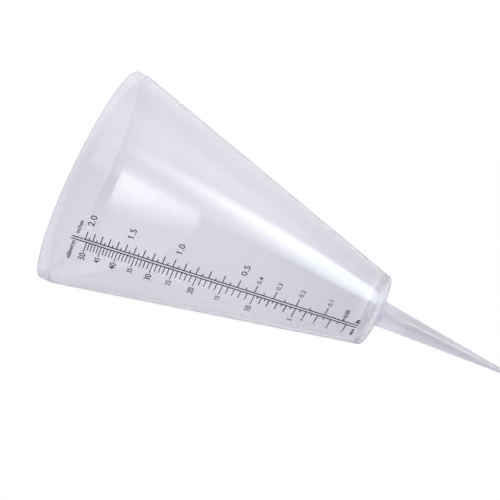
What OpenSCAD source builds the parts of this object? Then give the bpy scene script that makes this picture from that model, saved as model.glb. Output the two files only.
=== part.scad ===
// Conical garden rain gauge on a ground spike.
// Millimetres, +Z up. The origin is on the axis, at the underside of the cone's floor, which is
// the soil line when the spike is pushed home. The printed scale faces -Y.

/* [Measuring cone] */
// Outer diameter at the mouth
mouth_d = 96; // [80:1:120]
// Outer diameter at the base
base_d = 31.6; // [26:0.2:40]
// Height from the underside of the floor to the rim
cone_h = 134; // [110:1:160]
// Height of the straight band under the rim
collar_h = 5.2; // [3:0.1:12]
// Thickness of the wall, measured level
wall_t = 1.5; // [1.2:0.1:2.5]
// Thickness of the floor
floor_t = 2.5; // [2.2:0.1:4]
// Rounding of the outer edge round the base
base_edge_r = 1.2; // [0.4:0.1:2]
// Rounding inside, where the floor meets the wall
inside_edge_r = 1.5; // [0.4:0.1:3]
// Rounding where the cone turns into the straight band
collar_edge_r = 2; // [0.5:0.1:4]
// Rounding of both edges of the rim
rim_edge_r = 0.4; // [0.1:0.05:0.5]

/* [Spike socket] */
// Length of the round boss under the floor
boss_l = 3; // [2:0.1:6]
// Floor left whole between the socket and the water
socket_web = 1.2; // [0.8:0.1:1.8]
// Gap between spike and socket, the same on every face
fit_gap = 0.05; // [0.03:0.01:0.1]

/* [Ground spike] */
// Width across the blades at the shoulder, where they meet the boss
spike_w = 11.5; // [9.5:0.1:14]
// Length from the shoulder to the point
spike_l = 65; // [40:1:120]
// Width across the blades at the point
point_w = 0.8; // [0.6:0.1:2]
// Thickness of a blade at the shoulder and along the tang
blade_t = 1.2; // [1:0.1:2.4]
// Thickness of a blade at the point
point_t = 0.8; // [0.5:0.1:1]
// Width across the tang that plugs into the socket
tang_w = 7.4; // [5:0.1:8]
// Bevel that leads the tang into the socket
tang_lead = 0.5; // [0.2:0.1:1]
// Turn of the blades about the axis, from the middle of the scale
blade_turn = 50; // [0:5:85]

/* [Printed scale] */
// Largest rainfall marked in millimetres
last_mm = 50; // [30:5:55]
// Largest rainfall marked on the inch side, in tenths of an inch
last_tenths = 20; // [10:1:21]
// Rainfall below which half millimetres are marked as well
halves_below_mm = 10; // [5:1:20]
// Height of the lower end of the two upright lines
scale_foot = 6.4; // [5:0.1:9]
// Distance from their upper end to the straight band
scale_head = 4.5; // [2:0.1:8]
// Distance between the middles of the two lines
line_pitch = 1.15; // [0.8:0.05:2]
// Width of each line
line_w = 0.4; // [0.2:0.05:0.6]
// Width of a mark
mark_w = 0.3; // [0.15:0.05:0.5]
// Length of a mark at every fifth millimetre, beyond its line
five_mm_l = 4.9; // [4:0.1:7]
// Length of a mark at every other millimetre, beyond its line
one_mm_l = 3.5; // [2:0.1:3.9]
// Length of a mark at a half millimetre, beyond its line
half_mm_l = 1.1; // [0.6:0.1:1.8]
// Length of a mark at every tenth of an inch, beyond its line
tenth_l = 3.3; // [2:0.1:5]
// Length of a mark half way between two tenths, beyond its line
twentieth_l = 1; // [0.6:0.1:1.8]
// Thickness of the ink
ink_t = 0.1; // [0.05:0.01:0.15]
// Hairline left between a patch of ink and what it lies against, so that they stay separate
ink_seat = 0.01; // [0.005:0.005:0.03]

/* [Hidden] */

inch = 25.4;
round_fn = 128;
corner_steps = 6;

mouth_r = mouth_d / 2;
base_r = base_d / 2;
collar_z = cone_h - collar_h;
taper = (mouth_r - base_r) / collar_z;

bore_r = mouth_r - wall_t;
floor_r = outer_r(floor_t) - wall_t;

spike_taper = (spike_w - point_w) / 2 / spike_l;
boss_r = spike_w / 2;
boss_root_r = boss_r + spike_taper * boss_l;
shoulder_z = -boss_l - fit_gap;
point_z = shoulder_z - spike_l;
socket_top_z = floor_t - socket_web;
tang_top_z = socket_top_z - fit_gap;

scale_top_z = collar_z - scale_head;
line_x = line_pitch / 2;
mark_x = line_x + line_w / 2 + ink_seat;

// Outer radius of the sloping wall at height z
function outer_r(z) = base_r + taper * z;

// Height of the water when so many millimetres of rain have fallen. The mouth collects a disc of
// radius bore_r, and the water fills a frustum that starts at floor_r and opens with the taper.
function rain_z(rain) =
    floor_t + (pow(3 * taper * pow(bore_r, 2) * rain + pow(floor_r, 3), 1 / 3) - floor_r) / taper;

function unit(v) = v / norm(v);

// Points of the arc of radius r that rounds corner b between its neighbours a and c
function corner(a, b, c, r) =
    let (
        u = unit(a - b),
        v = unit(c - b),
        half = acos(u * v) / 2,
        centre = b + unit(u + v) * r / sin(half),
        start = b + u * r / tan(half) - centre,
        first = atan2(start.y, start.x),
        turn = sign(cross(b - a, c - b)) * (180 - 2 * half)
    )
    [for (i = [0:corner_steps])
        centre + r * [cos(first + turn * i / corner_steps), sin(first + turn * i / corner_steps)]];

// An outline with each corner rounded to its own radius, or left sharp where that is 0
function rounded(points, radii) =
    let (n = len(points))
    [for (i = [0:n - 1])
        each (radii[i] == 0
            ? [points[i]]
            : corner(points[(i + n - 1) % n], points[i], points[(i + 1) % n], radii[i]))];

// Half section of the cone, its floor and the boss, going out along the underside and back inside
module cone_section() {
    outline = [
        [0, -boss_l],
        [boss_r, -boss_l],
        [boss_root_r, 0],
        [base_r, 0],
        [mouth_r, collar_z],
        [mouth_r, cone_h],
        [bore_r, cone_h],
        [bore_r, collar_z],
        [floor_r, floor_t],
        [0, floor_t]
    ];
    radii = [0, 0, 0, base_edge_r, collar_edge_r, rim_edge_r, rim_edge_r, collar_edge_r,
        inside_edge_r, 0];
    polygon(rounded(outline, radii));
}

// Turns its child to the blades' places: once for each of the two crossed blades
module each_blade() {
    for (quarter = [0, 90])
        rotate([0, 0, blade_turn - 90 + quarter])
            children();
}

// Cross-shaped hole that the tang plugs into, open at the end of the boss
module socket() {
    hole_w = tang_w + 2 * fit_gap;
    hole_t = blade_t + 2 * fit_gap;
    hole_l = socket_top_z + 2 * boss_l;
    each_blade()
        translate([-hole_w / 2, -hole_t / 2, -2 * boss_l])
            cube([hole_w, hole_t, hole_l]);
}

// Funnel and measuring vessel in one moulding, with the socket boss under its floor
module measuring_cone() {
    color([0.86, 0.86, 0.9, 0.5])
        difference() {
            rotate_extrude($fn = round_fn)
                cone_section();
            socket();
        }
}

// One blade seen flat on: tang, shoulders and the long taper to the point
module blade_outline() {
    lead_z = tang_top_z - tang_lead;
    tip_w = tang_w - 2 * tang_lead;
    half = [
        [tip_w / 2, tang_top_z],
        [tang_w / 2, lead_z],
        [tang_w / 2, shoulder_z],
        [spike_w / 2, shoulder_z],
        [point_w / 2, point_z]
    ];
    n = len(half);
    polygon([
        each half,
        for (i = [n - 1:-1:0]) [-half[i].x, half[i].y]
    ]);
}

// The same blade seen edge on: even along the tang, thinning to the point
module blade_edge() {
    polygon([
        [-blade_t / 2, tang_top_z],
        [blade_t / 2, tang_top_z],
        [blade_t / 2, shoulder_z],
        [point_t / 2, point_z],
        [-point_t / 2, point_z],
        [-blade_t / 2, shoulder_z]
    ]);
}

module blade() {
    intersection() {
        rotate([90, 0, 0])
            linear_extrude(height = 2 * blade_t, center = true)
                blade_outline();
        rotate([90, 0, 90])
            linear_extrude(height = 2 * spike_w, center = true)
                blade_edge();
    }
}

// Two crossed blades that hold the gauge upright in the soil, with a tang that the cone lifts off
module ground_spike() {
    color([0.84, 0.84, 0.89, 0.5])
        each_blade()
            blade();
}

// Section of a skin of ink that lies on the sloping wall between two heights
module ink_section(low, high) {
    near = ink_seat;
    far = ink_seat + ink_t;
    polygon([
        [outer_r(low) + near, low],
        [outer_r(low) + far, low],
        [outer_r(high) + far, high],
        [outer_r(high) + near, high]
    ]);
}

// Angle at the axis that a length along the surface spans at height z
function span(length, z) = length / outer_r(z) * 180 / PI;

// One upright line of even width, its middle at x
module upright(x) {
    reach = outer_r(scale_top_z) + 2 * ink_t;
    intersection() {
        rotate_extrude($fn = round_fn)
            ink_section(scale_foot, scale_top_z);
        translate([x - line_w / 2, -reach, scale_foot])
            cube([line_w, reach, scale_top_z - scale_foot]);
    }
}

// One level mark at height z. It starts beside its line and runs away from the other line:
// side is -1 for the millimetre side and 1 for the inch side.
module mark(z, length, side) {
    start = asin(mark_x / outer_r(z));
    turn = span(length, z);
    first = side < 0 ? -90 - start - turn : -90 + start;
    rotate([0, 0, first])
        rotate_extrude(angle = turn, $fn = round_fn)
            ink_section(z - mark_w / 2, z + mark_w / 2);
}

// Marks every half millimetre up to halves_below_mm and every millimetre above
module millimetre_scale() {
    color([0.15, 0.12, 0.12]) {
        upright(-line_x);
        for (half = [2:2 * last_mm]) {
            rain = half / 2;
            whole = half % 2 == 0;
            length = half % 10 == 0 ? five_mm_l : whole ? one_mm_l : half_mm_l;
            z = rain_z(rain);
            if ((whole || rain < halves_below_mm) && z < scale_top_z - mark_w)
                mark(z, length, -1);
        }
    }
}

// Marks every twentieth of an inch, the tenths long
module inch_scale() {
    color([0.15, 0.12, 0.12]) {
        upright(line_x);
        for (twentieth = [1:2 * last_tenths]) {
            length = twentieth % 2 == 0 ? tenth_l : twentieth_l;
            z = rain_z(twentieth / 20 * inch);
            if (z < scale_top_z - mark_w)
                mark(z, length, 1);
        }
    }
}

measuring_cone();
ground_spike();
millimetre_scale();
inch_scale();
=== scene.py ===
"""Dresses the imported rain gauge, a clear measuring cone with a printed scale on a ground spike.

Every piece is in metres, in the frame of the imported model: +Z up along the axis, the origin at the
underside of the cone's floor, and the printed scale facing -Y.
"""

import logging
import math
from dataclasses import dataclass, field
from enum import Enum
from typing import Any, Iterable, Optional, Sequence, Union

import bmesh
import bpy
from mathutils import Matrix, Vector


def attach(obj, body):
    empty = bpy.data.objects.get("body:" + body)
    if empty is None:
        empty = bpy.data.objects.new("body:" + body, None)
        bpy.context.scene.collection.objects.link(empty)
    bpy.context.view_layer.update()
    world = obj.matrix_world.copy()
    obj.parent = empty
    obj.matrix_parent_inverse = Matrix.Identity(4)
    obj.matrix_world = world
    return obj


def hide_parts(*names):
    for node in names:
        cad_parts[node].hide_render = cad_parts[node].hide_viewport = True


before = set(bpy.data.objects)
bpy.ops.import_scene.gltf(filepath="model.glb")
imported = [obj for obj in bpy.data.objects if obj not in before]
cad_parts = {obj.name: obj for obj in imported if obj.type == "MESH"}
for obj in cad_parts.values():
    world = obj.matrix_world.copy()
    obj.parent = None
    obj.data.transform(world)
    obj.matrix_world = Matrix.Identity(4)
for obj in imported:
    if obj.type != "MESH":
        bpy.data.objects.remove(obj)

LOG = logging.getLogger("rain_gauge")
MM = 0.001
INCH = 25.4 * MM
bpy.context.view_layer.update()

Point = tuple[float, float]
Span = tuple[float, float]
Colour = tuple[float, float, float]

WHITE: Colour = (1.0, 1.0, 1.0)
ON_AXIS = 1e-7  # radius below which a section's point lies on the axis
OFF_AXIS = 1e-9  # added to a squared radius, so that nothing is divided by 0 on the axis
MERGE = 1e-6  # distance within which points of a cut mesh become one
ON_CUT = 1e-8  # distance within which a point lies on a cutting plane

# The type of a Geometry Nodes input for each type of value
SOCKET_KINDS = {
    int: "NodeSocketInt", float: "NodeSocketFloat", bpy.types.Material: "NodeSocketMaterial",
}

# The text object's own font, at size 1
FIGURE_H = 0.69  # height of a figure
FIGURE_CELL = 0.5  # width that the font gives to every figure
POINT_CELL = 0.219  # width that it gives to the decimal point
HALF_DEPTH = 0.5  # half of the depth that the lettering is given
FONT_MERGE = 1e-4  # distance within which points of a letter become one
# Outline of a figure one's flag, from the left of its cell
FLAG = (
    (0.22, 0.682), (0.2, 0.62), (0.16, 0.585), (0.09, 0.57),
    (0.09, 0.5), (0.24, 0.5), (0.24, 0.682),
)


# ---------------------------------------------------------------- node trees


class Socket:
    """A node's output that takes part in Python arithmetic and adds its Math nodes as it goes."""

    def __init__(self, tree: "Tree", output: bpy.types.NodeSocket) -> None:
        """Wraps one output of a node.

        Args:
            tree: The tree that the node is in.
            output: The output.
        """
        self.tree = tree
        self.output = output

    def _math(self, operation: str, first: "Operand", second: "Operand") -> "Socket":
        """Adds one Math node.

        Args:
            operation: The Math node's operation.
            first: Its first value or link.
            second: Its second value or link.

        Returns:
            The node's result.
        """
        node = self.tree.add("ShaderNodeMath", {"operation": operation}, {0: first, 1: second})
        return Socket(self.tree, node.outputs[0])

    def __add__(self, other: "Operand") -> "Socket":
        """Sum."""
        return self._math("ADD", self, other)

    def __radd__(self, other: "Operand") -> "Socket":
        """Sum with a number on the left."""
        return self._math("ADD", other, self)

    def __sub__(self, other: "Operand") -> "Socket":
        """Difference."""
        return self._math("SUBTRACT", self, other)

    def __rsub__(self, other: "Operand") -> "Socket":
        """Difference with a number on the left."""
        return self._math("SUBTRACT", other, self)

    def __mul__(self, other: "Operand") -> "Socket":
        """Product."""
        return self._math("MULTIPLY", self, other)

    def __rmul__(self, other: "Operand") -> "Socket":
        """Product with a number on the left."""
        return self._math("MULTIPLY", other, self)

    def __truediv__(self, other: "Operand") -> "Socket":
        """Quotient."""
        return self._math("DIVIDE", self, other)

    def __rtruediv__(self, other: "Operand") -> "Socket":
        """Quotient with a number on the left."""
        return self._math("DIVIDE", other, self)

    def __pow__(self, other: "Operand") -> "Socket":
        """Power."""
        return self._math("POWER", self, other)

    def __rpow__(self, other: "Operand") -> "Socket":
        """Power of a number on the left."""
        return self._math("POWER", other, self)

    def __mod__(self, other: "Operand") -> "Socket":
        """Remainder."""
        return self._math("MODULO", self, other)

    def __rmod__(self, other: "Operand") -> "Socket":
        """Remainder of a number on the left."""
        return self._math("MODULO", other, self)

    def __lt__(self, other: "Operand") -> "Socket":
        """1 where this is less than the other, else 0."""
        return self._math("LESS_THAN", self, other)

    def highest(self, other: "Operand") -> "Socket":
        """The larger of the two."""
        return self._math("MAXIMUM", self, other)

    def sine(self) -> "Socket":
        """Sine of an angle in radians."""
        return self._math("SINE", self, 0.0)

    def cosine(self) -> "Socket":
        """Cosine of an angle in radians."""
        return self._math("COSINE", self, 0.0)

    def ramp(self, low: float, high: float, start: float = 0.0, end: float = 1.0) -> "Socket":
        """A smooth step from one value to another.

        Args:
            low: Where the step begins.
            high: Where it ends.
            start: The value before it.
            end: The value after it.

        Returns:
            The stepped value.
        """
        settings = {"interpolation_type": "SMOOTHSTEP", "clamp": True}
        values = {0: self, 1: low, 2: high, 3: start, 4: end}
        node = self.tree.add("ShaderNodeMapRange", settings, values)
        return Socket(self.tree, node.outputs[0])


Operand = Union[Socket, float, int]


class Tree:
    """A node tree that is being written, for a material, a lamp, the world or Geometry Nodes."""

    def __init__(self, node_tree: bpy.types.NodeTree) -> None:
        """Starts on an empty tree.

        Args:
            node_tree: The tree, whose nodes are cleared.
        """
        self.node_tree = node_tree
        node_tree.nodes.clear()

    def add(
        self,
        kind: str,
        settings: Optional[dict[str, Any]] = None,
        values: Optional[dict[Union[int, str], Any]] = None,
    ) -> bpy.types.Node:
        """Adds any node.

        Args:
            kind: The node's type, as bpy names it.
            settings: Its settings, which are set before its sockets are filled.
            values: What goes into each input, by name or number: a value, a Socket or an output.

        Returns:
            The new node.
        """
        node = self.node_tree.nodes.new(kind)
        for name, value in (settings or {}).items():
            setattr(node, name, value)
        for name, value in (values or {}).items():
            self.fill(node.inputs[name], value)
        return node

    def fill(self, target: bpy.types.NodeSocket, value: Any) -> None:
        """Links an input to an output, or sets its value.

        Args:
            target: The input.
            value: A value, a Socket or an output.
        """
        if isinstance(value, Socket):
            value = value.output
        if isinstance(value, bpy.types.NodeSocket):
            self.node_tree.links.new(value, target)
        elif target.type == "RGBA" and len(value) == 3:
            target.default_value = (*value, 1.0)
        else:
            target.default_value = value

    def end(self, kind: str, shader: bpy.types.Node) -> None:
        """Joins a shader to an output node of the given type."""
        self.add(kind, {}, {"Surface": shader.outputs[0]})

    def get(
        self, kind: str, output: Union[int, str], values: Optional[dict] = None, **settings: Any
    ) -> Socket:
        """Adds any node and gives one of its outputs.

        Args:
            kind: The node's type.
            output: Which output is wanted, by name or number.
            values: What goes into its inputs.
            settings: Its settings.

        Returns:
            The wanted output.
        """
        return Socket(self, self.add(kind, settings, values).outputs[output])

    def join(self, x: Operand, y: Operand, z: Operand) -> Socket:
        """A vector from its three parts."""
        return self.get("ShaderNodeCombineXYZ", 0, {0: x, 1: y, 2: z})

    def split(self, vector: Socket) -> tuple[Socket, Socket, Socket]:
        """Takes a vector apart.

        Args:
            vector: The vector.

        Returns:
            Its three parts.
        """
        node = self.add("ShaderNodeSeparateXYZ", {}, {0: vector})
        return tuple(Socket(self, output) for output in node.outputs)

    def blend(self, share: Operand, first: Any, second: Any) -> Socket:
        """A mix of two colours.

        Args:
            share: How much of the second colour is taken.
            first: The first colour.
            second: The second colour.

        Returns:
            The mixed colour.
        """
        node = self.add("ShaderNodeMix", {"data_type": "RGBA"}, {"Factor": share})
        # By number, because the node's sockets for numbers and for vectors have the same names
        self.fill(node.inputs[6], first)
        self.fill(node.inputs[7], second)
        return Socket(self, node.outputs[2])

    def mix_shaders(
        self, share: Operand, first: bpy.types.Node, second: bpy.types.Node
    ) -> bpy.types.Node:
        """A mix of two shaders.

        Args:
            share: How much of the second shader is taken.
            first: The first shader.
            second: The second shader.

        Returns:
            The mixing node.
        """
        values = {0: share, 1: first.outputs[0], 2: second.outputs[0]}
        return self.add("ShaderNodeMixShader", {}, values)

    def dot(self, vector: Socket, axis: Sequence[float]) -> Socket:
        """How far a vector reaches along a fixed axis.

        Args:
            vector: The vector.
            axis: The axis, at length 1.

        Returns:
            That reach.
        """
        values = {0: vector, 1: tuple(axis)}
        return self.get("ShaderNodeVectorMath", "Value", values, operation="DOT_PRODUCT")

    def add_colours(self, first: Any, second: Any) -> Socket:
        """The sum of two colours."""
        return self.get("ShaderNodeVectorMath", 0, {0: first, 1: second}, operation="ADD")

    def noise(self, vector: Socket, scale: float, detail: float = 3.0) -> Socket:
        """Noise between 0 and 1.

        Args:
            vector: Where it is read.
            scale: How fine it is.
            detail: How many octaves it has.

        Returns:
            The noise.
        """
        values = {"Vector": vector, "Scale": scale, "Detail": detail}
        return self.get("ShaderNodeTexNoise", 0, values)


# ---------------------------------------------------------------- finishes


def new_material(name: str) -> tuple[bpy.types.Material, Tree]:
    """Starts a material.

    Args:
        name: The material's name.

    Returns:
        The material and its empty node tree.
    """
    material = bpy.data.materials.new(name)
    material.use_nodes = True
    return material, Tree(material.node_tree)


@dataclass(frozen=True)
class Level:
    """What a moulding's plastic is like at one height along its axis."""

    z: float
    colour: Colour
    roughness: float


@dataclass(frozen=True)
class MouldedPlastic:
    """Clear plastic with a faint haze, as it comes out of a polished mould.

    Its colour and gloss change with height, its colour is painted darker where it is seen edge on as
    painted shade, blades can carry a painted highlight along their outer edges, and flow lines run
    along the moulding.

    Attributes:
        name: The material's name.
        levels: Colour and roughness at some heights, from the lowest up.
        haze: Share of the light that is scattered and not passed on.
        shadow: Tint of the lamps' light that passes through.
        edge: Painted shade where the surface is seen edge on: a darker colour that stands in for the
            shade there.
        edge_from: How nearly edge on that painted shade begins, from 0, square on, to 1.
        crest: Painted highlight along the outer edges of blades, if the moulding has blades: a light
            colour standing in for the light those edges catch.
        crest_r: Radius of those edges at height 0.
        crest_taper: How much that radius grows with height.
        crest_reach: Shares of that radius between which the painted highlight comes in.
        crest_facing: How far the surface faces outwards where it comes in.
        flow_scale: How fine the flow lines are.
        flow_pull: How fast they change with height.
        cloud_scale: How fine the clouds in the plastic are.
        cloud_shift: How far the clouds shift the levels up and down.
        flow_share: The flow lines' share in the surface's relief.
        relief: Strength of that relief.
        relief_depth: Its depth.
        gloss_spread: How much the roughness varies along the flow lines.
        ior: Index of refraction.
    """

    name: str
    levels: Sequence[Level]
    haze: float
    shadow: Colour
    edge: Colour
    edge_from: float
    crest: Optional[Colour] = None
    crest_r: float = 0.0
    crest_taper: float = 0.0
    crest_reach: Span = (0.8, 0.92)
    crest_facing: Span = (0.35, 0.8)
    flow_scale: float = 9.0
    flow_pull: float = 3.0
    cloud_scale: float = 38.0
    cloud_shift: float = 3.0 * MM
    flow_share: float = 0.7
    relief: float = 0.1
    relief_depth: float = 0.03 * MM
    gloss_spread: float = 0.03
    ior: float = 1.5

    def by_height(self, tree: Tree, z: Socket) -> tuple[Any, Any]:
        """The plain colour and roughness at a height.

        Args:
            tree: The material's node tree.
            z: The height.

        Returns:
            The colour and the roughness.
        """
        first = self.levels[0]
        colour: Any = first.colour
        rough: Any = first.roughness
        for low, high in zip(self.levels, self.levels[1:]):
            share = z.ramp(low.z, high.z)
            colour = tree.blend(share, colour, high.colour)
            rough = rough + share * (high.roughness - low.roughness)
        return colour, rough

    def material(self) -> bpy.types.Material:
        """Builds the material.

        Returns:
            The finished material.
        """
        material, tree = new_material(self.name)
        place = tree.get("ShaderNodeTexCoord", "Object")
        x, y, z = tree.split(place)
        out = (x * x + y * y + OFF_AXIS) ** 0.5
        flow = tree.noise(tree.join(x / out, y / out, z * self.flow_pull), self.flow_scale)
        clouds = tree.noise(place, self.cloud_scale, detail=2.0)
        colour, rough = self.by_height(tree, z + (clouds - 0.5) * self.cloud_shift)
        # Painted highlight: the blades' outer edges, where they face outwards, are painted in a
        # light colour that stands in for the light they catch
        if self.crest is not None:
            reach = out / (z * self.crest_taper + self.crest_r)
            across, along, _ = tree.split(tree.get("ShaderNodeTexCoord", "Normal"))
            outward = (across * x + along * y) / out
            share = reach.ramp(*self.crest_reach) * outward.ramp(*self.crest_facing)
            colour = tree.blend(share, colour, self.crest)
        # Painted shade: where the surface is seen edge on, the colour goes over into the darker edge
        # colour
        grazing = tree.get("ShaderNodeLayerWeight", "Facing", {"Blend": 0.5})
        colour = tree.blend(grazing.ramp(self.edge_from, 1.0), colour, self.edge)
        bump = tree.get("ShaderNodeBump", "Normal", {
            "Height": flow * self.flow_share + clouds * (1.0 - self.flow_share),
            "Strength": self.relief, "Distance": self.relief_depth,
        })
        plastic = tree.add("ShaderNodeBsdfPrincipled", {}, {
            "Base Color": colour, "Roughness": rough + (flow - 0.5) * self.gloss_spread,
            "IOR": self.ior, "Transmission Weight": 1.0 - self.haze, "Normal": bump,
        })
        passed = tree.add("ShaderNodeBsdfTransparent", {}, {"Color": self.shadow})
        lamp_ray = tree.get("ShaderNodeLightPath", "Is Shadow Ray")
        tree.end("ShaderNodeOutputMaterial", tree.mix_shaders(lamp_ray, plastic, passed))
        return material


@dataclass(frozen=True)
class PrintInk:
    """Dark ink in a thin even film, a little thinner in places.

    Attributes:
        name: The material's name.
        full: Colour where the film is full.
        thin: Colour where it is thin.
        roughness: Its lowest roughness.
        grain_scale: How fine its grain is.
        patch_scale: How fine its thin patches are.
        grain_share: The grain's share in where the film thins.
        thinning: Between which values of that noise it thins.
        relief: Strength of the grain's relief.
        relief_depth: Its depth.
        gloss_spread: How much rougher it is in patches.
        gloss: How strongly its surface mirrors.
    """

    name: str
    full: Colour
    thin: Colour
    roughness: float
    grain_scale: float = 4200.0
    patch_scale: float = 300.0
    grain_share: float = 0.6
    thinning: Span = (0.52, 0.8)
    relief: float = 0.25
    relief_depth: float = 0.01 * MM
    gloss_spread: float = 0.15
    gloss: float = 0.3

    def material(self) -> bpy.types.Material:
        """Builds the material.

        Returns:
            The finished material.
        """
        material, tree = new_material(self.name)
        place = tree.get("ShaderNodeTexCoord", "Object")
        grain = tree.noise(place, self.grain_scale, detail=2.0)
        patches = tree.noise(place, self.patch_scale, detail=2.0)
        mixed = grain * self.grain_share + patches * (1.0 - self.grain_share)
        bump = tree.get("ShaderNodeBump", "Normal", {
            "Height": grain, "Strength": self.relief, "Distance": self.relief_depth,
        })
        ink = tree.add("ShaderNodeBsdfPrincipled", {}, {
            "Base Color": tree.blend(mixed.ramp(*self.thinning), self.full, self.thin),
            "Roughness": self.roughness + patches * self.gloss_spread,
            "Normal": bump, "Specular IOR Level": self.gloss,
        })
        tree.end("ShaderNodeOutputMaterial", ink)
        return material


@dataclass(frozen=True)
class StudioFloor:
    """A white floor that shows a faint shadow, and pure white away from the object.

    Attributes:
        name: The material's name.
        colour: The colour that the lamps light.
        white_share: Share of plain white in what is seen of it beside the object.
        shadow_reach: Radius from which on it is plain white.
        shadow_core: Share of that radius within which the shadow is fullest.
        glow: Strength of the plain white.
    """

    name: str
    colour: Colour
    white_share: float
    shadow_reach: float
    shadow_core: float = 0.3
    glow: float = 1.06

    def material(self) -> bpy.types.Material:
        """Builds the material.

        Returns:
            The finished material.
        """
        material, tree = new_material(self.name)
        x, y, _ = tree.split(tree.get("ShaderNodeTexCoord", "Object"))
        out = (x * x + y * y) ** 0.5
        core = self.shadow_reach * self.shadow_core
        plain = out.ramp(core, self.shadow_reach, self.white_share, 1.0)
        path = tree.add("ShaderNodeLightPath").outputs
        seen = Socket(tree, path["Is Camera Ray"])
        seen = seen.highest(path["Is Glossy Ray"]).highest(path["Is Transmission Ray"])
        lit = tree.add("ShaderNodeBsdfDiffuse", {}, {"Color": self.colour})
        white = tree.add("ShaderNodeEmission", {}, {"Color": WHITE, "Strength": self.glow})
        tree.end("ShaderNodeOutputMaterial", tree.mix_shaders(seen * plain, lit, white))
        return material


# ---------------------------------------------------------------- shapes


def unit(vector: Vector) -> Vector:
    """The vector at length 1."""
    return vector / vector.length


def arc_at(before: Point, at: Point, after: Point, radius: float, steps: int) -> list[Point]:
    """Rounds one corner of an outline.

    Args:
        before: The corner before it.
        at: The corner that is rounded.
        after: The corner after it.
        radius: Radius of the arc, or 0 to keep the corner.
        steps: How many steps the arc has.

    Returns:
        The arc's points, in the outline's order.
    """
    if radius <= 0:
        return [at]
    a, b, c = Vector(before), Vector(at), Vector(after)
    u, v = unit(a - b), unit(c - b)
    half = math.acos(max(-1.0, min(1.0, u.dot(v)))) / 2
    centre = b + unit(u + v) * (radius / math.sin(half))
    start = b + u * (radius / math.tan(half)) - centre
    first = math.atan2(start.y, start.x)
    side = 1 if (b - a).x * (c - b).y - (b - a).y * (c - b).x > 0 else -1
    turn = side * (math.pi - 2 * half)
    angles = [first + turn * i / steps for i in range(steps + 1)]
    return [(centre.x + radius * math.cos(t), centre.y + radius * math.sin(t)) for t in angles]


def stretched(points: Sequence[Point], longest: float) -> list[Point]:
    """An open outline with its long straight runs cut into shorter ones.

    Args:
        points: The outline.
        longest: The longest run that is left.

    Returns:
        The outline with the added points.
    """
    cut = [points[0]]
    for (x0, y0), (x1, y1) in zip(points, points[1:]):
        count = max(1, math.ceil(math.hypot(x1 - x0, y1 - y0) / longest))
        shares = range(1, count + 1)
        cut += [(x0 + (x1 - x0) * i / count, y0 + (y1 - y0) * i / count) for i in shares]
    return cut


def turned(name: str, outline: Sequence[Point], segments: int) -> bpy.types.Mesh:
    """A closed solid of revolution about Z.

    Args:
        name: The mesh's name.
        outline: Half section in (radius, height), in metres, both ends on the axis.
        segments: How many steps go round.

    Returns:
        The mesh, with its normals outwards.
    """
    bm = bmesh.new()
    rings: list[list[bmesh.types.BMVert]] = []
    for radius, height in outline:
        angles = [2 * math.pi * i / segments for i in range(segments)]
        ring = [(radius * math.cos(t), radius * math.sin(t), height) for t in angles]
        if radius < ON_AXIS:
            ring = [(0.0, 0.0, height)]
        rings.append([bm.verts.new(point) for point in ring])
    for low, high in zip(rings, rings[1:]):
        for i in range(segments):
            j = (i + 1) % segments
            places = ((low, i), (low, j), (high, j), (high, i))
            corners = [ring[k % len(ring)] for ring, k in places]
            distinct = list(dict.fromkeys(corners))
            if len(distinct) > 2:
                bm.faces.new(distinct)
    return finished(bm, name)


def plain_mesh(bm: bmesh.types.BMesh, name: str) -> bpy.types.Mesh:
    """Turns mesh code's result into a mesh.

    Args:
        bm: The mesh being built, which is freed.
        name: The new mesh's name.

    Returns:
        The mesh.
    """
    mesh = bpy.data.meshes.new(name)
    bm.to_mesh(mesh)
    bm.free()
    return mesh


def finished(bm: bmesh.types.BMesh, name: str, crease: float = 32.0) -> bpy.types.Mesh:
    """Turns mesh code's result into a smooth-shaded mesh with its true edges kept sharp.

    Args:
        bm: The mesh being built, which is freed.
        name: The new mesh's name.
        crease: Angle in degrees above which an edge is shaded sharp.

    Returns:
        The mesh, with its normals outwards.
    """
    bmesh.ops.recalc_face_normals(bm, faces=bm.faces)
    for face in bm.faces:
        face.smooth = True
    for edge in bm.edges:
        if len(edge.link_faces) == 2:
            edge.smooth = edge.calc_face_angle() < math.radians(crease)
    return plain_mesh(bm, name)


def lofted(sections: Sequence[Sequence[Any]]) -> bmesh.types.BMesh:
    """Starts a mesh with a solid that runs through a row of sections.

    Args:
        sections: The points of each section, the same number in each.

    Returns:
        The mesh being built, closed at both ends.
    """
    bm = bmesh.new()
    rings = [[bm.verts.new(point) for point in section] for section in sections]
    for low, high in zip(rings, rings[1:]):
        for i in range(len(low)):
            j = (i + 1) % len(low)
            bm.faces.new((low[i], low[j], high[j], high[i]))
    bm.faces.new(rings[0][::-1])
    bm.faces.new(rings[-1])
    return bm


def prism(outline: Sequence[Point], low: float, high: float) -> bmesh.types.BMesh:
    """Starts a mesh with an upright prism.

    Args:
        outline: The prism's plan.
        low: Height of its lower end.
        high: Height of its upper end.

    Returns:
        The mesh being built.
    """
    return lofted([[(x, y, z) for x, y in outline] for z in (low, high)])


def placed(name: str, data: Any) -> bpy.types.Object:
    """Adds an object at the origin.

    Args:
        name: Its name.
        data: The mesh or text that it shows.

    Returns:
        The object.
    """
    piece = bpy.data.objects.new(name, data)
    bpy.context.scene.collection.objects.link(piece)
    return piece


def evaluated(piece: bpy.types.Object) -> bpy.types.Mesh:
    """Reads an object with its modifiers applied.

    Args:
        piece: The object, which stays as it is.

    Returns:
        A plain mesh of it.
    """
    graph = bpy.context.evaluated_depsgraph_get()
    graph.update()
    return bpy.data.meshes.new_from_object(piece.evaluated_get(graph), depsgraph=graph)


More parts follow.
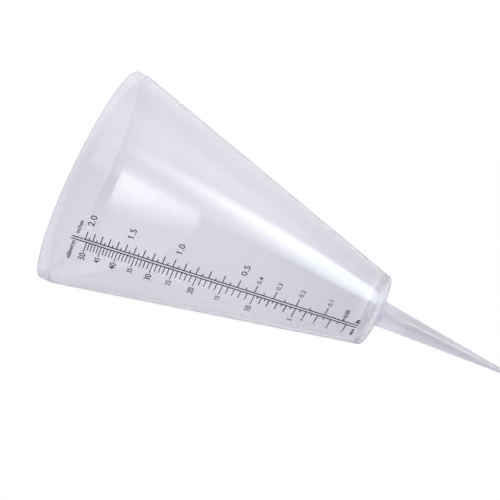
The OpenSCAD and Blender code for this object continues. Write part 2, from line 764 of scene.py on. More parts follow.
def hand_over(
    piece: bpy.types.Object,
    material: bpy.types.Material,
    body: str,
    nodes: Iterable[str] = (),
) -> None:
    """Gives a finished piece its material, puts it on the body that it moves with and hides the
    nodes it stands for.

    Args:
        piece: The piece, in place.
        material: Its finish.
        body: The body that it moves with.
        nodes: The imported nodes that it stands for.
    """
    piece.data.materials.clear()
    piece.data.materials.append(material)
    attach(piece, body)
    if nodes:
        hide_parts(*nodes)
    LOG.info("%s: %d faces on body %s", piece.name, len(piece.data.polygons), body)


# ---------------------------------------------------------------- the gauge


@dataclass
class MeasuringCone:
    """Funnel and measuring vessel in one moulding, with a socket boss under its floor.

    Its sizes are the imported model's, apart from the rounded edge and the root fillet of the boss.

    Attributes:
        hair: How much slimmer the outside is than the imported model's, to stay inside its box.
        socket_top: Height of the socket's upper end.
        blade_turn: Turn of the socket's cross, in degrees from the middle of the scale.
        segments: How many steps go round.
        corner_steps: How many steps round each corner of the section.
        longest_run: The longest step along the section.
    """

    mouth_r: float = 48.0 * MM
    base_r: float = 15.8 * MM
    height: float = 134.0 * MM
    collar_h: float = 5.2 * MM
    wall: float = 1.5 * MM
    floor: float = 2.5 * MM
    base_edge_r: float = 1.2 * MM
    inside_edge_r: float = 1.5 * MM
    collar_edge_r: float = 2.0 * MM
    rim_edge_r: float = 0.4 * MM
    hair: float = 0.025 * MM
    boss_l: float = 3.0 * MM
    boss_r: float = 5.75 * MM
    boss_root_r: float = 5.997 * MM
    boss_edge_r: float = 0.25 * MM
    boss_fillet: float = 0.5 * MM
    socket_w: float = 7.5 * MM
    socket_t: float = 1.3 * MM
    socket_top: float = 1.3 * MM
    blade_turn: float = 50.0
    segments: int = 288
    corner_steps: int = 7
    longest_run: float = 6.0 * MM

    @property
    def collar_z(self) -> float:
        """Height at which the straight band starts."""
        return self.height - self.collar_h

    @property
    def taper(self) -> float:
        """How much the radius grows for each unit of height."""
        return (self.mouth_r - self.base_r) / self.collar_z

    @property
    def bore_r(self) -> float:
        """Inner radius of the mouth."""
        return self.mouth_r - self.wall

    @property
    def floor_r(self) -> float:
        """Inner radius of the floor."""
        return self.base_r + self.taper * self.floor - self.wall

    def rain_z(self, rain: float) -> float:
        """Height of the water for a depth of rain.

        Args:
            rain: The depth, in metres.

        Returns:
            The height, in metres.
        """
        volume = 3 * self.taper * self.bore_r ** 2 * rain + self.floor_r ** 3
        return self.floor + (volume ** (1 / 3) - self.floor_r) / self.taper

    def outline(self) -> list[Point]:
        """Draws the half section from the boss's end, up the outside and down inside to the floor.

        Returns:
            Its points, as radius and height.
        """
        corners = [
            ((0.0, -self.boss_l), 0.0),
            ((self.boss_r, -self.boss_l), self.boss_edge_r),
            ((self.boss_root_r, 0.0), self.boss_fillet),
            ((self.base_r, 0.0), self.base_edge_r),
            ((self.mouth_r - self.hair, self.collar_z), self.collar_edge_r),
            ((self.mouth_r - self.hair, self.height), self.rim_edge_r),
            ((self.bore_r, self.height), self.rim_edge_r),
            ((self.bore_r, self.collar_z), self.collar_edge_r),
            ((self.floor_r, self.floor), self.inside_edge_r),
            ((0.0, self.floor), 0.0),
        ]
        points = [corner[0] for corner in corners]
        rounded: list[Point] = [points[0]]
        for i in range(1, len(corners) - 1):
            before, at, after = points[i - 1:i + 2]
            rounded += arc_at(before, at, after, corners[i][1], self.corner_steps)
        return stretched(rounded + [points[-1]], self.longest_run)

    def cutter(self) -> bpy.types.Object:
        """Makes the cross-shaped plug that cuts the socket.

        Returns:
            The plug.
        """
        half_w, half_t = self.socket_w / 2, self.socket_t / 2
        cross = [
            (half_w, -half_t), (half_w, half_t), (half_t, half_t), (half_t, half_w),
            (-half_t, half_w), (-half_t, half_t), (-half_w, half_t), (-half_w, -half_t),
            (-half_t, -half_t), (-half_t, -half_w), (half_t, -half_w), (half_t, -half_t),
        ]
        bm = prism(cross, -2 * self.boss_l, self.socket_top)
        turn = Matrix.Rotation(math.radians(self.blade_turn - 90), 3, "Z")
        bmesh.ops.rotate(bm, cent=(0, 0, 0), matrix=turn, verts=bm.verts)
        return placed("socket_cutter", finished(bm, "socket_cutter"))

    def build(self, material: bpy.types.Material) -> None:
        """Makes the moulding, cuts its socket and hands it over.

        Args:
            material: The cone's plastic.
        """
        blank = placed("cone_blank", turned("cone_blank", self.outline(), self.segments))
        cutter = self.cutter()
        cut = blank.modifiers.new("socket", "BOOLEAN")
        cut.operation, cut.solver, cut.object = "DIFFERENCE", "EXACT", cutter
        bm = bmesh.new()
        bm.from_mesh(evaluated(blank))
        bmesh.ops.remove_doubles(bm, verts=bm.verts, dist=MERGE)
        shell = placed("measuring_cone_moulding", finished(bm, "measuring_cone_moulding"))
        for helper in (blank, cutter):
            bpy.data.objects.remove(helper)
        hand_over(shell, material, "cone", ["measuring_cone"])


@dataclass
class GroundSpike:
    """Two crossed blades that taper to a point, with a cross-shaped tang that the cone lifts off.

    Attributes:
        shoulder_w: Width across a blade at the shoulder.
        point_w: Width across a blade above the blunted point.
        tang_lead: Bevel that leads the tang into the socket.
        root_fillet: Radius between two blades.
        edge_r: Radius of the blades' outer edges.
        tip_l: Length over which the point is blunted.
        tip_share: What is left of the section at its very end.
        tip_edge_share: Edge radius there, as a share of edge_r.
        fillet_share: The largest fillet, as a share of the width less the thickness.
        edge_share: The largest edge radius, as a share of the thickness.
        tang_fillet: Radius between two arms of the tang.
        tang_edge: Radius of the tang's outer edges.
        blade_turn: Turn of the blades, in degrees from the middle of the scale.
        rings: How many steps go up the blades.
        steps: How many steps go round each corner of a section.
    """

    shoulder_w: float = 11.5 * MM
    point_w: float = 0.8 * MM
    blade_t: float = 1.2 * MM
    point_t: float = 0.72 * MM
    shoulder_z: float = -3.05 * MM
    point_z: float = -68.05 * MM
    tang_w: float = 7.4 * MM
    tang_top: float = 1.25 * MM
    tang_lead: float = 0.5 * MM
    root_fillet: float = 0.7 * MM
    edge_r: float = 0.3 * MM
    tip_l: float = 0.25 * MM
    tip_share: float = 0.62
    tip_edge_share: float = 0.4
    fillet_share: float = 0.3
    edge_share: float = 0.4
    tang_fillet: float = 0.1 * MM
    tang_edge: float = 0.12 * MM
    blade_turn: float = 50.0
    rings: int = 48
    steps: int = 4

    def section(
        self, width: float, thick: float, z: float, fillet: float, edge: float
    ) -> list[Vector]:
        """Draws one level section of the crossed blades.

        Args:
            width: Width across a blade.
            thick: Thickness of a blade.
            z: Height of the section.
            fillet: Radius in the four inner corners.
            edge: Radius along the outer edges of the blades.

        Returns:
            The section's points, anticlockwise.
        """
        w, t = width / 2, thick / 2
        quarter: list[Point] = []
        corners = (
            ((0.0, -t), (w, -t), (w, 0.0), edge),
            ((w, 0.0), (w, t), (t, t), edge),
            ((w, t), (t, t), (t, w), fillet),
        )
        for before, at, after, radius in corners:
            quarter += arc_at(before, at, after, radius, self.steps)
        points = []
        for turn in range(4):
            angle = math.radians(self.blade_turn - 90 + 90 * turn)
            c, s = math.cos(angle), math.sin(angle)
            points += [Vector((x * c - y * s, x * s + y * c, z)) for x, y in quarter]
        return points

    def sections(self) -> list[list[Vector]]:
        """Draws all level sections, from the point up over the shoulder to the top of the tang.

        Returns:
            The points of each section.
        """
        stack = []
        for i in range(self.rings + 1):
            share = i / self.rings
            z = self.point_z + (self.shoulder_z - self.point_z) * share
            width = self.point_w + (self.shoulder_w - self.point_w) * share
            thick = self.point_t + (self.blade_t - self.point_t) * share
            fillet = min(self.root_fillet, (width - thick) * self.fillet_share)
            if i == 0:
                tip_w, tip_t = width * self.tip_share, thick * self.tip_share
                edge = self.edge_r * self.tip_edge_share
                stack.append(self.section(tip_w, tip_t, z, fillet / 2, edge))
                z += self.tip_l
            edge = min(self.edge_r, thick * self.edge_share)
            stack.append(self.section(width, thick, z, fillet, edge))
        lead_w, lead_z = self.tang_w - 2 * self.tang_lead, self.tang_top - self.tang_lead
        tang = ((self.tang_w, self.shoulder_z), (self.tang_w, lead_z), (lead_w, self.tang_top))
        for width, z in tang:
            stack.append(self.section(width, self.blade_t, z, self.tang_fillet, self.tang_edge))
        return stack

    def build(self, material: bpy.types.Material) -> None:
        """Lofts the blades and hands the spike over.

        Args:
            material: The spike's plastic.
        """
        blades = finished(lofted(self.sections()), "cross_bladed_spike")
        spike = placed("cross_bladed_spike", blades)
        hand_over(spike, material, "spike", ["ground_spike"])


class Side(Enum):
    """Which side of the double line a scale is on, as the sign of its direction."""

    MILLIMETRES = -1
    INCHES = 1


@dataclass(frozen=True)
class Label:
    """A numeral or word of the print.

    Attributes:
        text: What it says.
        near: Arc length from the middle of the scale to the text's nearer end.
        z: Height of its middle.
        height: Height of a figure or capital.
        spread: How much wider it is than the font draws it.
        weight: How much heavier its strokes are, in the font's own units.
    """

    text: str
    near: float
    z: float
    height: float
    spread: float = 1.1
    weight: float = 0.0


@dataclass
class PrintedScale:
    """One of the two scales printed on the cone: its upright line, its marks and its lettering.

    A mark is long, of middle length, or fine, and fine marks stop at some depth of rain.

    Attributes:
        cone: What it is printed on.
        side: Which side of the double line it is on.
        name: What its pieces are named for.
        step: Depth of rain from one mark to the next.
        first: Number of the first mark, counted in steps.
        last: Number of the last mark.
        long_every: Every how many steps a mark is long.
        middle_every: Every how many steps a mark is at least of middle length.
        fine_until: Depth of rain at which the fine marks stop.
        long_l: Length of a long mark.
        middle_l: Length of a middle mark.
        fine_l: Length of a fine mark.
        labels: Its lettering.
        heavy_first: How much heavier the first mark is.
        fine_weight: How much heavier the marks are as far as fine_until.
        foot: Height of the upright line's lower end.
        head: Distance from its upper end to the straight band.
        line_pitch: Distance between the middles of the two lines.
        line_w: Width of the line.
        mark_w: Width of a mark.
        seat: Distance between the ink and the wall.
        ink_t: Thickness of the ink.
        bar_points: Points along a mark.
        line_points: Points along the upright line.
        curve_steps: Steps in each curve of a letter.
        bend_step: Widest piece of lettering that stays flat.
    """

    cone: MeasuringCone
    side: Side
    name: str
    step: float
    first: int
    last: int
    long_every: int
    middle_every: int
    fine_until: float
    long_l: float
    middle_l: float
    fine_l: float
    labels: Sequence[Label]
    heavy_first: float = 1.0
    foot: float = 6.4 * MM
    head: float = 4.5 * MM
    line_pitch: float = 1.15 * MM
    line_w: float = 0.46 * MM
    mark_w: float = 0.33 * MM
    fine_weight: float = 1.25
    seat: float = 0.012 * MM
    ink_t: float = 0.05 * MM
    bar_points: int = 9
    line_points: int = 61
    curve_steps: int = 3
    bend_step: float = 0.6 * MM

    def wrap(self, tree: Tree, radius: Socket, taper: Socket) -> Socket:
        """Bends a flat print onto the cone's wall.

        It is drawn flat in arc length to the right, height, and distance out of the wall.

        Args:
            tree: The Geometry Nodes tree.
            radius: The wall's outer radius at height 0.
            taper: How much it grows with height.

        Returns:
            The place on the cone.
        """
        across, height, lift = tree.split(tree.get("GeometryNodeInputPosition", 0))
        surface = radius + taper * height
        angle = across / surface
        out = surface + lift
        return tree.join(angle.sine() * out, 0.0 - angle.cosine() * out, height)

    def new_tree(
        self, name: str, values: dict[str, Any]
    ) -> tuple[Tree, bpy.types.Node, dict[str, str]]:
        """Starts a Geometry Nodes tree with named inputs.

        Args:
            name: The tree's name.
            values: What each input will be given, which sets its type.

        Returns:
            The tree, its input node and each input's identifier by name.
        """
        group = bpy.data.node_groups.new(name, "GeometryNodeTree")
        add_socket = group.interface.new_socket
        add_socket("Geometry", in_out="INPUT", socket_type="NodeSocketGeometry")
        add_socket("Geometry", in_out="OUTPUT", socket_type="NodeSocketGeometry")
        identifiers = {}
        for label, value in values.items():
            kind = SOCKET_KINDS[type(value)]
            identifiers[label] = add_socket(label, in_out="INPUT", socket_type=kind).identifier
        tree = Tree(group)
        return tree, tree.add("NodeGroupInput"), identifiers

    def close_tree(self, tree: Tree, geometry: Socket, material: bpy.types.NodeSocket) -> None:
        """Ends a Geometry Nodes tree in Realize Instances and Set Material.

        Args:
            tree: The tree.
            geometry: What it has made.
            material: The material's input.
        """
        real = tree.get("GeometryNodeRealizeInstances", 0, {0: geometry})
        values = {"Geometry": real, "Material": material}
        dressed = tree.get("GeometryNodeSetMaterial", 0, values)
        tree.add("NodeGroupOutput", {}, {0: dressed})

    def run_tree(
        self,
        piece: bpy.types.Object,
        tree: Tree,
        identifiers: dict[str, str],
        values: dict[str, Any],
    ) -> bpy.types.Mesh:
        """Runs a Geometry Nodes tree on a piece.

        Args:
            piece: The object that carries the modifier for the moment.
            tree: The finished tree.
            identifiers: Each input's identifier by name.
            values: What is set on the modifier, by name.

        Returns:
            The result as a plain mesh.
        """
        modifier = piece.modifiers.new("print", "NODES")
        modifier.node_group = tree.node_tree
        for label, value in values.items():
            modifier[identifiers[label]] = value
        mesh = evaluated(piece)
        piece.modifiers.remove(modifier)
        return mesh

    def mark_values(self, material: bpy.types.Material) -> dict[str, Any]:
        """Names the sizes that the marks follow from.

        Args:
            material: The ink.

        Returns:
            What each input of the marks' tree is given.
        """
        hair = self.step / 100  # keeps a rounding error from letting in one more fine mark
        return {
            "First mark": self.first, "Last mark": self.last, "Rain per mark": self.step,
            "Long every": self.long_every, "Middle every": self.middle_every,
            "Fine marks until": self.fine_until - hair,
            "Long length": self.long_l, "Middle length": self.middle_l,
            "Fine length": self.fine_l, "Mark width": self.mark_w,
            "First mark weight": self.heavy_first, "Fine range weight": self.fine_weight,
            "Line distance": self.line_pitch / 2, "Line width": self.line_w,
            "Foot": self.foot, "Top": self.cone.collar_z - self.head,
            "Side": float(self.side.value), "Seat": self.seat, "Ink": self.ink_t,
            "Radius": self.cone.base_r, "Taper": self.cone.taper,
            "Bore radius": self.cone.bore_r, "Floor radius": self.cone.floor_r,
            "Floor": self.cone.floor, "Material": material,
        }

    def marks_tree(self, values: dict[str, Any]) -> tuple[Tree, dict[str, str]]:
        """The tree that lays every mark at the height of its rainfall, and the upright line.

        Args:
            values: What its inputs will be given.

        Returns:
            The tree and each input's identifier by name.
        """
        tree, given, identifiers = self.new_tree(self.name + "_marks", values)
        take = {label: Socket(tree, given.outputs[label]) for label in identifiers}
        first, taper, top, ink = (take[k] for k in ("First mark", "Taper", "Top", "Ink"))
        row = tree.get("GeometryNodePoints", 0, {"Count": take["Last mark"] - first + 1.0})
        index = tree.get("GeometryNodeInputIndex", 0)
        turn = index + first
        rain = turn * take["Rain per mark"]
        volume = 3.0 * taper * take["Bore radius"] ** 2.0 * rain + take["Floor radius"] ** 3.0
        height = take["Floor"] + (volume ** (1.0 / 3.0) - take["Floor radius"]) / taper
        is_long = (turn % take["Long every"]) < 0.5
        is_middle = (turn % take["Middle every"]) < 0.5
        is_fine = rain < take["Fine marks until"]
        fine_l = take["Fine length"]
        short = fine_l + is_middle * (take["Middle length"] - fine_l)
        length = short + is_long * (take["Long length"] - short)
        wanted = is_middle.highest(is_fine) * (height < top - take["Mark width"])
        weight = 1.0 + (index < 0.5) * (take["First mark weight"] - 1.0)
        weight = weight + is_fine * (take["Fine range weight"] - 1.0)
        start = take["Line distance"] + take["Line width"] * 0.5
        middle_lift = take["Seat"] + ink * 0.5
        place = tree.join(take["Side"] * (start + length * 0.5), height, middle_lift)
        row = tree.get("GeometryNodeSetPosition", 0, {"Geometry": row, "Position": place})
        bar = tree.get("GeometryNodeMeshCube", 0, {
            "Size": (1.0, 1.0, 1.0),
            "Vertices X": self.bar_points, "Vertices Y": 2, "Vertices Z": 2,
        })
        size = tree.join(length, take["Mark width"] * weight, ink)
        marks = tree.get("GeometryNodeInstanceOnPoints", 0, {
            "Points": row, "Selection": wanted, "Instance": bar, "Scale": size,
        })
        line = tree.get("GeometryNodeMeshCube", 0, {
            "Size": tree.join(take["Line width"], top - take["Foot"], ink),
            "Vertices X": 3, "Vertices Y": self.line_points, "Vertices Z": 2,
        })
        middle = (top + take["Foot"]) * 0.5
        place = tree.join(take["Side"] * take["Line distance"], middle, middle_lift)
        line = tree.get("GeometryNodeTransform", 0, {"Geometry": line, "Translation": place})
        both = tree.add("GeometryNodeJoinGeometry")
        for part in (line, tree.get("GeometryNodeRealizeInstances", 0, {0: marks})):
            tree.fill(both.inputs[0], part)
        bent = tree.get("GeometryNodeSetPosition", 0, {
            "Geometry": both.outputs[0], "Position": self.wrap(tree, take["Radius"], taper),
        })
        self.close_tree(tree, bent, given.outputs["Material"])
        return tree, identifiers

    def letters_tree(self, values: dict[str, Any]) -> tuple[Tree, dict[str, str]]:
        """The tree that bends the flat lettering onto the wall.

        Args:
            values: What its inputs will be given.

        Returns:
            The tree and each input's identifier by name.
        """
        tree, given, identifiers = self.new_tree(self.name + "_lettering", values)
        radius, taper = (Socket(tree, given.outputs[label]) for label in ("Radius", "Taper"))
        bent = tree.get("GeometryNodeSetPosition", 0, {
            "Geometry": given.outputs["Geometry"], "Position": self.wrap(tree, radius, taper),
        })
        self.close_tree(tree, bent, given.outputs["Material"])
        return tree, identifiers

    def flag(self, x: float) -> bpy.types.Mesh:
        """The short flag of a figure one, which the font draws as a plain bar.

        Args:
            x: Where the figure's cell begins.

        Returns:
            Its mesh, in the font's own units.
        """
        outline = [(x + u, v) for u, v in FLAG]
        return plain_mesh(prism(outline, -HALF_DEPTH, HALF_DEPTH), "flag")

    def flat_label(self, label: Label) -> bmesh.types.BMesh:
        """One numeral or word as flat ink of the right size, cut so that it can bend.

        Args:
            label: What it says, where it stands and how large it is.

        Returns:
            Its mesh, in arc length, height and distance from the wall.
        """
        curve = bpy.data.curves.new("label", "FONT")
        curve.body = label.text
        curve.resolution_u = self.curve_steps
        curve.offset = label.weight
        curve.extrude = HALF_DEPTH
        holder = placed("label", curve)
        bm = bmesh.new()
        bm.from_mesh(evaluated(holder))
        bpy.data.objects.remove(holder)
        cell = 0.0
        for figure in label.text:
            if figure == "1":
                bm.from_mesh(self.flag(cell))
            cell += FIGURE_CELL if figure.isdigit() else POINT_CELL
        bmesh.ops.remove_doubles(bm, verts=bm.verts, dist=FONT_MERGE)
        up = label.height / FIGURE_H
        along = up * label.spread
        xs = [v.co.x * along for v in bm.verts]
        left = label.near - (min(xs) if self.side is Side.INCHES else max(xs))
        for v in bm.verts:
            lift = self.seat + self.ink_t * (v.co.z + HALF_DEPTH)
            v.co = (left + v.co.x * along, label.z + (v.co.y - FIGURE_H / 2) * up, lift)
        width = max(xs) - min(xs)
        cuts = int(width / self.bend_step)
        start = left + min(xs)
        for i in range(1, cuts):
            bmesh.ops.bisect_plane(
                bm, geom=list(bm.verts) + list(bm.edges) + list(bm.faces), dist=ON_CUT,
                plane_co=(start + width * i / cuts, 0, 0), plane_no=(1, 0, 0),
            )
        return bm

    def build_marks(self, material: bpy.types.Material, node: str) -> None:
        """Makes the upright line and the marks and hands them over.

        Args:
            material: The ink.
            node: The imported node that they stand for.
        """
        carrier = placed("print_carrier", bpy.data.meshes.new("print_carrier"))
        values = self.mark_values(material)
        tree, identifiers = self.marks_tree(values)
        mesh = self.run_tree(carrier, tree, identifiers, values)
        self.hand_over_print(carrier, mesh, "_marks", material, [node])

    def hand_over_print(
        self,
        carrier: bpy.types.Object,
        mesh: bpy.types.Mesh,
        ending: str,
        material: bpy.types.Material,
        nodes: Iterable[str] = (),
    ) -> None:
        """Finishes the marks or the lettering.

        Args:
            carrier: The object that carried the modifier, which is removed.
            mesh: What the modifier made.
            ending: The end of the piece's name.
            material: The ink.
            nodes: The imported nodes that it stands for.
        """
        bpy.data.objects.remove(carrier)
        bm = bmesh.new()
        bm.from_mesh(mesh)
        name = self.name + ending
        hand_over(placed(name, finished(bm, name)), material, "cone", nodes)

    def build_lettering(self, material: bpy.types.Material) -> None:
        """Makes the numerals and unit words and hands them over.

        Args:
            material: The ink.
        """
        flat = bpy.data.meshes.new("lettering")
        everything = bmesh.new()
        for label in self.labels:
            part = self.flat_label(label)
            part.to_mesh(flat)
            part.free()
            everything.from_mesh(flat)
        everything.to_mesh(flat)
        everything.free()
        carrier = placed("lettering_carrier", flat)
        values = {"Radius": self.cone.base_r, "Taper": self.cone.taper, "Material": material}
        tree, identifiers = self.letters_tree(values)
        mesh = self.run_tree(carrier, tree, identifiers, values)
        self.hand_over_print(carrier, mesh, "_lettering", material)


def millimetre_scale(cone: MeasuringCone) -> PrintedScale:
    """The left-hand scale, with a numeral at every fifth millimetre and at the first four.

    Args:
        cone: The cone that it is printed on.

    Returns:
        The scale, ready to build.
    """
    labels = []
    for rain in (*range(50, 4, -5), 4, 3, 2, 1):
        z = cone.rain_z(rain * MM)
        if rain < 5:
            labels.append(Label(str(rain), -5.2 * MM, z, height=1.3 * MM, weight=0.004))
            continue
        height = (2.4 if rain % 10 == 0 else 1.95) * MM
        near = 0.011 * z - 7.5 * MM  # the column of numerals leans a little towards the line
        labels.append(Label(str(rain), near, z, height, weight=0.008))
    word_h = 1.55 * MM
    labels += [
        Label("millimetres", -1.35 * MM, 123.1 * MM, word_h, spread=1.0, weight=0.012),
        Label("mm", -1.9 * MM, 7.3 * MM, word_h, spread=1.08, weight=0.03),
    ]
    return PrintedScale(
        cone, Side.MILLIMETRES, "millimetre", step=0.5 * MM, first=2, last=100,
        long_every=10, middle_every=2, fine_until=10 * MM,
        long_l=4.9 * MM, middle_l=3.5 * MM, fine_l=1.1 * MM, labels=labels,
    )


def inch_scale(cone: MeasuringCone) -> PrintedScale:
    """The right-hand scale, with a numeral at every half inch and at the tenths below it.

    Args:
        cone: The cone that it is printed on.

    Returns:
        The scale, ready to build.
    """
    columns = (
        ((20, 15, 10), 6.95 * MM, 2.4 * MM, 1.1),
        ((5,), 6.6 * MM, 2.4 * MM, 1.1),
        ((4, 3, 2, 1), 5.1 * MM, 1.8 * MM, 1.02),
    )  # tenths of an inch, the numerals' nearer end, their height and their spread
    labels = [
        Label(f"{t / 10:.1f}", near, cone.rain_z(t / 10 * INCH), height, spread, weight=0.006)
        for tenths, near, height, spread in columns for t in tenths
    ]
    lowest = 0.05
    labels += [
        Label(f"{lowest:.2f}", 2.3 * MM, cone.rain_z(lowest * INCH), 1.5 * MM, 1.0, weight=0.03),
        Label("inches", 2.25 * MM, 122.8 * MM, 1.55 * MM, spread=1.05, weight=0.014),
        Label("in", 1.5 * MM, 7.3 * MM, 1.6 * MM, weight=0.05),
    ]
    return PrintedScale(
        cone, Side.INCHES, "inch", step=INCH / 20, first=1, last=40, long_every=2,
        middle_every=1, fine_until=0.0, long_l=3.3 * MM, middle_l=1.0 * MM, fine_l=1.0 * MM,
        labels=labels, heavy_first=1.6, mark_w=0.38 * MM,
    )


# ---------------------------------------------------------------- the studio


@dataclass(frozen=True)
class Softbox:
    """A rectangular soft lamp that faces the gauge.

    Its face fades out towards each side, and one of its lower corners can be cut off along a
    slanting line. Shares are of the face's width or height.

    Attributes:
        name: The lamp's name.
        bearing: Its bearing to the right of the lens, in degrees.
        rise: Its height above the lens, in degrees.
        distance: Its distance from the gauge.
        width: Width of its face.
        height: Height of its face.
        radiance: Its brightness.
        colour: Its colour.
        fade_low: Share over which it fades out at its lower side.
        fade_high: The same at its upper side.
        fade_left: The same at its left side.
        fade_right: The same at its right side.
        slant: How far the slanting line climbs from left to right.
        slant_from: How far below the face that line starts.
        slant_blur: Share over which the face fades out at that line.
    """

    name: str
    bearing: float
    rise: float
    distance: float
    width: float
    height: float
    radiance: float
    colour: Colour
    fade_low: float = 0.0
    fade_high: float = 0.0
    fade_left: float = 0.0
    fade_right: float = 0.0
    slant: float = 0.0
    slant_from: float = 1.0
    slant_blur: float = 0.035


@dataclass
class Studio:
    """Camera, lamps, floor and world. Angles are in degrees, lengths in metres.

    How far a direction points right, up or back is a number from -1 to 1, and a span is where one
    thing goes over into the next.

    Attributes:
        camera_turn: The camera's bearing from the middle of the scale.
        camera_rise: Its height above the gauge's middle.
        camera_roll: Its turn about its own axis.
        aim: The point of the gauge that it turns about.
        aim_right: How far right of the picture's middle that point is seen.
        aim_down: How far below the picture's middle it is seen.
        camera_distance: Its distance from that point.
        focal_pixels: Focal length in pixels.
        frame_pixels: Width of the picture in pixels.
        sensor: Width of the sensor in millimetres.
        clip: Nearest and farthest distance that it sees.
        floor_z: Height of the floor.
        floor_r: Its radius.
        floor_sides: How many sides it has.
        table_light: Soft light from the table's side of the picture.
        room_light: Soft light from the other side.
        light_turn: How far up in the picture the one goes over into the other.
        table: Colour of the table as the plastic mirrors it.
        room_glow: How much brighter the room above it is mirrored.
        right_glow: How much brighter its right side is.
        ceiling_glow: How much brighter its ceiling is.
        horizon: How far up the room begins.
        right_side: How far right the brighter side begins.
        right_depth: How far back towards the viewer it begins.
        ceiling: How far up the ceiling begins.
        dusk: Colour overhead as it is seen through the plastic.
        dusk_low: Sine of the height where that begins.
        dusk_high: Sine of the height where it is full.
        lamps: The soft lamps.
    """

    camera_turn: float = 31.152
    camera_rise: float = 1.2699
    camera_roll: float = 64.4826
    aim: Vector = field(default_factory=lambda: Vector((0.0, 0.0, 45.0 * MM)))
    aim_right: float = 12.8028 * MM
    aim_down: float = 6.625 * MM
    camera_distance: float = 419.6364 * MM
    focal_pixels: float = 986.2867
    frame_pixels: float = 500.0
    sensor: float = 36.0
    clip: Span = (0.01, 20.0)
    floor_z: float = -68.3 * MM
    floor_r: float = 0.9
    floor_sides: int = 96
    table_light: float = 1.3
    room_light: float = 0.08
    light_turn: Span = (-0.6, 0.6)
    table: Colour = (0.63, 0.63, 0.70)
    room_glow: float = 0.2
    right_glow: float = 1.35
    ceiling_glow: float = 1.0
    horizon: Span = (-0.06, 0.08)
    right_side: Span = (-0.05, 0.3)
    right_depth: Span = (-0.35, 0.35)
    ceiling: Span = (0.2, 0.85)
    dusk: Colour = (0.80, 0.80, 0.86)
    dusk_low: float = math.sin(math.radians(6.5))
    dusk_high: float = math.sin(math.radians(8.5))
    lamps: Sequence[Softbox] = (
        Softbox(
            "right_softbox", bearing=50.3, rise=15.0, distance=0.9, width=0.575, height=0.72,
            radiance=5.0, colour=(0.95, 1.02, 1.0), fade_low=0.16, fade_high=0.29,
            fade_left=0.55, fade_right=0.24, slant=-2.0, slant_from=-0.34,
        ),
        Softbox(
            "left_softbox", bearing=-38.5, rise=18.5, distance=0.9, width=0.46, height=0.88,
            radiance=6.0, colour=(1.0, 1.0, 0.92), fade_low=0.33, fade_high=0.55,
            fade_right=0.5, slant=1.09, slant_from=0.51,
        ),
    )

    def axes(self) -> tuple[Vector, Vector, Vector]:
        """Works out the camera's own axes.

        Returns:
            The directions right and up in the picture, and back towards the viewer.
        """
        angles = (self.camera_turn, self.camera_rise, self.camera_roll)
        turn, rise, roll = (math.radians(angle) for angle in angles)
        outward = (math.sin(turn) * math.cos(rise), -math.cos(turn) * math.cos(rise))
        back = Vector((*outward, math.sin(rise)))
        level = Vector((math.cos(turn), math.sin(turn), 0.0))
        down = (-back).cross(level)
        right = math.cos(roll) * level + math.sin(roll) * down
        up = math.sin(roll) * level - math.cos(roll) * down
        return right, up, back

    def build_camera(self) -> None:
        """Places the camera at the photograph's viewing angle and distance."""
        right, up, back = self.axes()
        offset = right * self.aim_right - up * self.aim_down - back * self.camera_distance
        place = self.aim - offset
        lens = bpy.data.cameras.new("camera")
        lens.sensor_width = self.sensor
        lens.lens = self.sensor * self.focal_pixels / self.frame_pixels
        lens.clip_start, lens.clip_end = self.clip
        camera = bpy.data.objects.new("camera", lens)
        bpy.context.scene.collection.objects.link(camera)
        turn = Matrix((right, up, back)).transposed()
        camera.matrix_world = Matrix.Translation(place) @ turn.to_4x4()
        bpy.context.scene.camera = camera

    def build_lamp(self, lamp: Softbox) -> None:
        """Places one soft lamp, facing the gauge.

        Args:
            lamp: Where it stands, its size and its brightness.
        """
        right, up, back = self.axes()
        bearing, rise = math.radians(lamp.bearing), math.radians(lamp.rise)
        level = right * math.sin(bearing) + back * math.cos(bearing)
        towards = level * math.cos(rise) + up * math.sin(rise)
        light = bpy.data.lights.new(lamp.name, "AREA")
        light.shape, light.size, light.size_y = "RECTANGLE", lamp.width, lamp.height
        light.energy = math.pi * lamp.width * lamp.height * lamp.radiance
        light.color = lamp.colour
        light.use_nodes = True
        tree = Tree(light.node_tree)
        across, over, _ = tree.split(tree.get("ShaderNodeNewGeometry", "Parametric"))
        strength = (over - across * lamp.slant + lamp.slant_from).ramp(0.0, lamp.slant_blur)
        edges = (
            (over, lamp.fade_low), (1.0 - over, lamp.fade_high),
            (across, lamp.fade_left), (1.0 - across, lamp.fade_right),
        )
        for position, share in edges:
            if share > 0:
                strength = strength * position.ramp(0.0, share)
        glow = tree.add("ShaderNodeEmission", {}, {"Color": WHITE, "Strength": strength})
        tree.end("ShaderNodeOutputLight", glow)
        holder = bpy.data.objects.new(lamp.name, light)
        bpy.context.scene.collection.objects.link(holder)
        side = unit(up.cross(towards))
        frame_up = towards.cross(side)
        turn = Matrix((side, frame_up, towards)).transposed()
        holder.matrix_world = Matrix.Translation(self.aim + towards * lamp.distance) @ turn.to_4x4()
        holder.visible_camera = False

    def build_floor(self, material: bpy.types.Material) -> None:
        """Lays the round white floor under the spike's point.

        Args:
            material: The floor's finish.
        """
        bm = bmesh.new()
        sides = self.floor_sides
        bmesh.ops.create_circle(bm, cap_ends=True, segments=sides, radius=self.floor_r)
        bmesh.ops.translate(bm, vec=(0, 0, self.floor_z), verts=bm.verts)
        floor = placed("studio_floor", plain_mesh(bm, "studio_floor"))
        floor.data.materials.append(material)
        floor.visible_glossy = False
        floor.visible_transmission = False

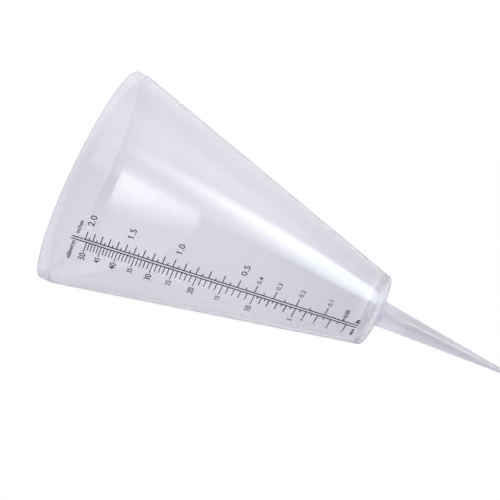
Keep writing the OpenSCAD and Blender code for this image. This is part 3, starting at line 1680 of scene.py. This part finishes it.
    def surroundings(self, tree: Tree, ways: Sequence[Socket]) -> Socket:
        """The room as the plastic mirrors it: a pale table, a ceiling and a brighter right side.

        Args:
            tree: The world's node tree.
            ways: How far a direction points right, up and back.

        Returns:
            Its colour, by direction.
        """
        right, up, back = ways
        side = right.ramp(*self.right_side) * back.ramp(*self.right_depth)
        ceiling = up.ramp(*self.ceiling)
        extra = self.room_glow + side * self.right_glow + ceiling * self.ceiling_glow
        extra = up.ramp(*self.horizon) * extra
        return tree.add_colours(self.table, tree.join(extra, extra, extra))

    def build_world(self) -> None:
        """White where it is seen, dusky overhead through the plastic, and soft light elsewhere."""
        world = bpy.data.worlds.new("studio_world")
        bpy.context.scene.world = world
        world.use_nodes = True
        tree = Tree(world.node_tree)
        path = tree.add("ShaderNodeLightPath").outputs
        heading = tree.get("ShaderNodeTexCoord", "Generated")
        _, _, height = tree.split(heading)
        ways = [tree.dot(heading, axis) for axis in self.axes()]
        through = tree.blend(height.ramp(self.dusk_low, self.dusk_high), WHITE, self.dusk)
        low, high = (self.table_light,) * 3, (self.room_light,) * 3
        soft = tree.blend(ways[1].ramp(*self.light_turn), low, high)
        colour = tree.blend(path["Is Glossy Ray"], soft, self.surroundings(tree, ways))
        colour = tree.blend(path["Is Transmission Ray"], colour, through)
        colour = tree.blend(path["Is Camera Ray"], colour, WHITE)
        sky = tree.add("ShaderNodeBackground", {}, {"Color": colour, "Strength": 1.0})
        tree.end("ShaderNodeOutputWorld", sky)

    def build(self, floor_material: bpy.types.Material) -> None:
        """Sets up everything that isn't the gauge.

        Args:
            floor_material: The floor's finish.
        """
        self.build_camera()
        for lamp in self.lamps:
            self.build_lamp(lamp)
        self.build_floor(floor_material)
        self.build_world()
        bpy.context.scene.view_settings.view_transform = "Standard"


def main() -> None:
    """Builds the studio and then each piece of the gauge."""
    logging.basicConfig(level=logging.INFO, format="%(name)s: %(message)s")
    floor = StudioFloor(
        "studio_white", colour=(0.8, 0.8, 0.8), white_share=0.9, shadow_reach=0.6
    )
    cone_plastic = MouldedPlastic(
        "cone_plastic", haze=0.08, shadow=(0.86, 0.86, 0.88),
        # edge is painted shade, darker and bluer where the wall is seen edge on
        edge=(0.6, 0.61, 0.73), edge_from=0.75,
        levels=(
            Level(0.5 * MM, (0.93, 0.93, 0.97), 0.3),
            Level(7.0 * MM, (0.79, 0.79, 0.843), 0.07),
            Level(60.0 * MM, (0.83, 0.83, 0.872), 0.06),
            Level(126.0 * MM, (0.82, 0.82, 0.865), 0.06),
            Level(134.0 * MM, (0.74, 0.74, 0.81), 0.1),
        ),
    )
    spike_plastic = MouldedPlastic(
        "spike_plastic", haze=0.6, shadow=(0.95, 0.95, 0.97),
        # edge is painted shade, darker and bluer where the blades are seen edge on
        edge=(0.56, 0.56, 0.66), edge_from=0.82,
        levels=(
            Level(-68.0 * MM, (0.75, 0.75, 0.82), 0.14),
            Level(-19.0 * MM, (0.735, 0.735, 0.81), 0.14),
            # Painted light: the spike is painted lighter towards its root, standing in for the light
            # on it there and against the cone's shadow
            Level(-6.0 * MM, (0.91, 0.91, 0.99), 0.25),
        ),
        # crest is a painted highlight along the blades' outer edges
        crest=(0.98, 0.98, 1.0), crest_r=6.0 * MM, crest_taper=0.0823,
    )
    ink = PrintInk(
        "scale_ink", full=(0.02, 0.004, 0.008), thin=(0.06, 0.024, 0.034), roughness=0.38
    ).material()
    Studio().build(floor.material())
    cone = MeasuringCone()
    cone.build(cone_plastic.material())
    GroundSpike().build(spike_plastic.material())
    for scale in (millimetre_scale(cone), inch_scale(cone)):
        scale.build_marks(ink, scale.name + "_scale")
        scale.build_lettering(ink)


if __name__ == "__main__":
    main()
